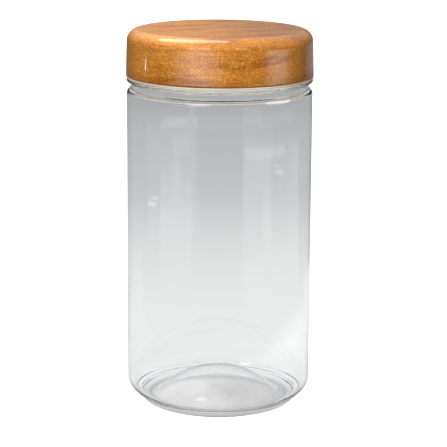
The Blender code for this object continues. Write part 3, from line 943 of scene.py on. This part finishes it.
class STORAGEJAR_OT_stage(bpy.types.Operator):
    """Build the floor, the lights and the camera"""

    bl_idname = "storagejar.stage"
    bl_label = "Stage"

    def execute(self, context):
        s = settings().stage
        self.camera(context, s)
        self.floor(s)
        self.world(context)
        self.lights()
        context.scene.view_settings.view_transform = "Standard"
        return {"FINISHED"}

    def camera(self, context, s):
        """The camera where the photograph was taken from."""
        aimed = Matrix.Rotation(-s.yaw, 3, "Z") @ Matrix.Rotation(math.pi / 2 - s.pitch, 3, "X")
        bpy.ops.object.camera_add(location=(0.0, -s.distance, s.camera_height))
        camera = context.object
        camera.rotation_euler = (aimed @ Matrix.Rotation(s.roll, 3, "Z")).to_euler()
        camera.data.lens = s.focal
        camera.data.sensor_width = SENSOR_WIDTH
        camera.data.clip_start = CLIP_START
        camera.data.clip_end = CLIP_END
        context.scene.camera = camera

    def floor(self, s):
        """A wide pale floor. Seen through the jar it glows as a painted pool of light that falls off with
        the distance from it.
        """
        bpy.ops.object.select_all(action="DESELECT")
        bpy.ops.mesh.primitive_circle_add(vertices=FLOOR_SIDES, radius=FLOOR_RADIUS, fill_type="NGON")
        floor = bpy.context.object
        floor.name = "floor"
        material = bpy.data.materials.new("pale_floor")
        material.use_nodes = True
        tree = material.node_tree
        tree.nodes.remove(tree.nodes["Principled BSDF"])
        coordinates = node(tree, "ShaderNodeTexCoord").outputs["Object"]
        away = node(tree, "ShaderNodeVectorMath", {0: coordinates}, operation="LENGTH").outputs["Value"]
        ramp = node(tree, "ShaderNodeValToRGB", {"Fac": away})
        stops = ramp.color_ramp.elements
        given = len(stops)
        for i, (place, fall) in enumerate(FLOOR_FALL):
            stop = stops[i] if i < given else stops.new(place)
            stop.position = place
            stop.color = [a + (b - a) * fall for a, b in zip((*s.floor_light, 1.0), (*s.floor_dark, 1.0))]
        path = node(tree, "ShaderNodeLightPath")
        mirrored = self.mirrored(tree, path)
        dim_edge = sums(tree, "MULTIPLY", ranged(tree, away, *FAR_EDGE), mirrored)
        near_glow = self.reflected_light(tree, coordinates, away, NEAR_ZONES)
        far_glow = self.reflected_light(tree, coordinates, away, FAR_ZONES)
        near_glow = sums(tree, "MULTIPLY", near_glow, path.outputs["Is Glossy Ray"])
        far_glow = sums(tree, "MULTIPLY", far_glow, mirrored)
        seen = self.shade_under_foot(tree, coordinates, away, ramp.outputs["Color"])
        seen = blended(tree, dim_edge, seen, FLOOR_FAR_MIRRORED)
        seen = blended(tree, 1.0, seen, sums(tree, "ADD", near_glow, far_glow), "ADD")
        seen = blended(tree, path.outputs["Is Diffuse Ray"], seen, FLOOR_ON_MATT)
        seen_by_jar = node(tree, "ShaderNodeEmission", {"Color": seen})
        plain = node(tree, "ShaderNodeBsdfDiffuse", {"Color": FLOOR_PLAIN})
        mixed_by_ray(tree, "Is Camera Ray", seen_by_jar, plain, "Material Output")
        floor.data.materials.append(material)

    def shade_under_foot(self, tree, coordinates, away, colour):
        """Under the foot the floor is darker to the right, with soft streaks that show through the base."""
        across = node(tree, "ShaderNodeSeparateXYZ", {"Vector": coordinates}).outputs["X"]
        streaks = ranged(tree, stretched_noise(tree, coordinates, *FLOOR_STREAKS), *STREAK_TONE)
        shade = sums(tree, "MULTIPLY", ranged(tree, across, *FOOT_SLOPE), streaks)
        shade = blended(tree, 1.0, shade, UNDER_FOOT_TINT, "MULTIPLY")
        return blended(tree, ranged(tree, away, *UNDER_FOOT), colour, shade, "MULTIPLY")

    def mirrored(self, tree, path):
        """One for a ray that an outer face mirrored, nought for one that went through the jar."""
        outside = sums(tree, "LESS_THAN", path.outputs["Transmission Depth"], 0.5)
        return sums(tree, "MULTIPLY", path.outputs["Is Glossy Ray"], outside)

    def reflected_light(self, tree, coordinates, away, zones):
        """Soft patches of light round the jar that show only in the gloss, as studio lamps and cards do."""
        split = node(tree, "ShaderNodeSeparateXYZ", {"Vector": coordinates}).outputs
        bearing = sums(tree, "ARCTAN2", split["X"], sums(tree, "MULTIPLY", split["Y"], -1.0))
        total = None
        for start, end, near, far, edge, blur, strength in zones:
            width = between(tree, bearing, math.radians(start), math.radians(end), math.radians(edge))
            depth = between(tree, away, near, far, blur)
            patch = sums(tree, "MULTIPLY", sums(tree, "MULTIPLY", width, depth), strength)
            total = patch if total is None else sums(tree, "ADD", total, patch)
        return total

    def world(self, context):
        """A room with a bright ceiling and dim walls that the camera sees as white."""
        world = bpy.data.worlds.new("room")
        world.use_nodes = True
        tree = world.node_tree
        room = tree.nodes["Background"]
        path = node(tree, "ShaderNodeLightPath")
        way = node(tree, "ShaderNodeTexCoord").outputs["Generated"]
        split = node(tree, "ShaderNodeSeparateXYZ", {"Vector": way}).outputs
        height = ranged(tree, split["Z"], *CEILING_RISE)
        seen_through = blended(tree, height, WALL_THROUGH, CEILING_THROUGH)
        glossed = blended(tree, height, WALL_MIRRORED, CEILING_MIRRORED)
        back = ranged(tree, split["Y"], *BACK_CARD)
        back = sums(tree, "MULTIPLY", back, ranged(tree, split["X"], *BACK_CARD_SIDE))
        glossed = blended(tree, 1.0, glossed, back, "ADD")
        shade = blended(tree, self.mirrored(tree, path), seen_through, glossed)
        shade = blended(tree, path.outputs["Is Diffuse Ray"], shade, ROOM_ON_MATT)
        tree.links.new(shade, room.inputs["Color"])
        white = node(tree, "ShaderNodeBackground", {"Color": ROOM_PLAIN})
        mixed_by_ray(tree, "Is Camera Ray", room, white, "World Output")
        context.scene.world = world

    def lights(self):
        """Soft light from above the camera, a little from the left, and lamps for the gloss and the neck."""
        bpy.ops.object.light_add(type="SUN", rotation=SUN_TURN)
        sky = bpy.context.object
        sky.name = "even_light"
        sky.data.energy = SUN_ENERGY
        sky.data.angle = SUN_SPREAD
        sky.visible_glossy = False
        sky.visible_transmission = False
        made = {values[0]: self.softbox(*values) for values in LAMPS}
        small = made["small_lamp"]
        small.visible_glossy = False
        small.visible_transmission = True
        inner = made["inner_lamp"]
        inner.visible_diffuse = True
        inner.visible_glossy = False
        inner.visible_camera = False

    def softbox(self, name, place, size, energy, pieces, roll):
        """A rounded lamp that faces the neck and, unless it is set otherwise, shows in the gloss alone."""
        bpy.ops.object.light_add(type="AREA", location=place)
        box = bpy.context.object
        box.name = name
        box.data.shape = "ELLIPSE"
        box.data.size, box.data.size_y = size
        box.data.energy = energy
        box.visible_diffuse = False
        box.visible_transmission = False
        aim = Vector(LAMP_AIM) - Vector(place)
        rolled = Matrix.Rotation(math.radians(roll), 3, "Z")
        box.rotation_euler = (aim.to_track_quat("-Z", "Y").to_matrix() @ rolled).to_euler()
        lit = bpy.data.collections.new(name + "_lights")
        for piece in pieces:
            lit.objects.link(bpy.data.objects[piece])
        box.light_linking.receiver_collection = lit
        return box


PIECES = (STORAGEJAR_OT_jar, STORAGEJAR_OT_lid, STORAGEJAR_OT_cap, STORAGEJAR_OT_wad, STORAGEJAR_OT_stage)


class STORAGEJAR_PT_panel(bpy.types.Panel):
    """Lists the pieces and their sizes."""

    bl_idname = "STORAGEJAR_PT_panel"
    bl_label = "Storage jar"
    bl_space_type = "VIEW_3D"
    bl_region_type = "UI"
    bl_category = "Storage jar"

    def draw(self, context):
        for piece in PIECES:
            self.layout.operator(piece.bl_idname)
        for group in (settings().jar, settings().lid, settings().cap, settings().stage):
            box = self.layout.box()
            for key in type(group).__annotations__:
                box.prop(group, key)


GROUPS = (JarSizes, LidSizes, CapSizes, StageSettings, StorageJar)


def register():
    """Add the classes and the scene's settings."""
    for made in GROUPS + PIECES + (STORAGEJAR_PT_panel,):
        bpy.utils.register_class(made)
    bpy.types.Scene.storage_jar = bpy.props.PointerProperty(type=StorageJar)


def unregister():
    """Take them away again."""
    del bpy.types.Scene.storage_jar
    for made in reversed(GROUPS + PIECES + (STORAGEJAR_PT_panel,)):
        bpy.utils.unregister_class(made)


def main():
    """Build everything in order."""
    register()
    bpy.ops.storagejar.jar()
    bpy.ops.storagejar.lid()
    bpy.ops.storagejar.cap()
    bpy.ops.storagejar.wad()
    bpy.ops.storagejar.stage()


if __name__ == "__main__":
    main()
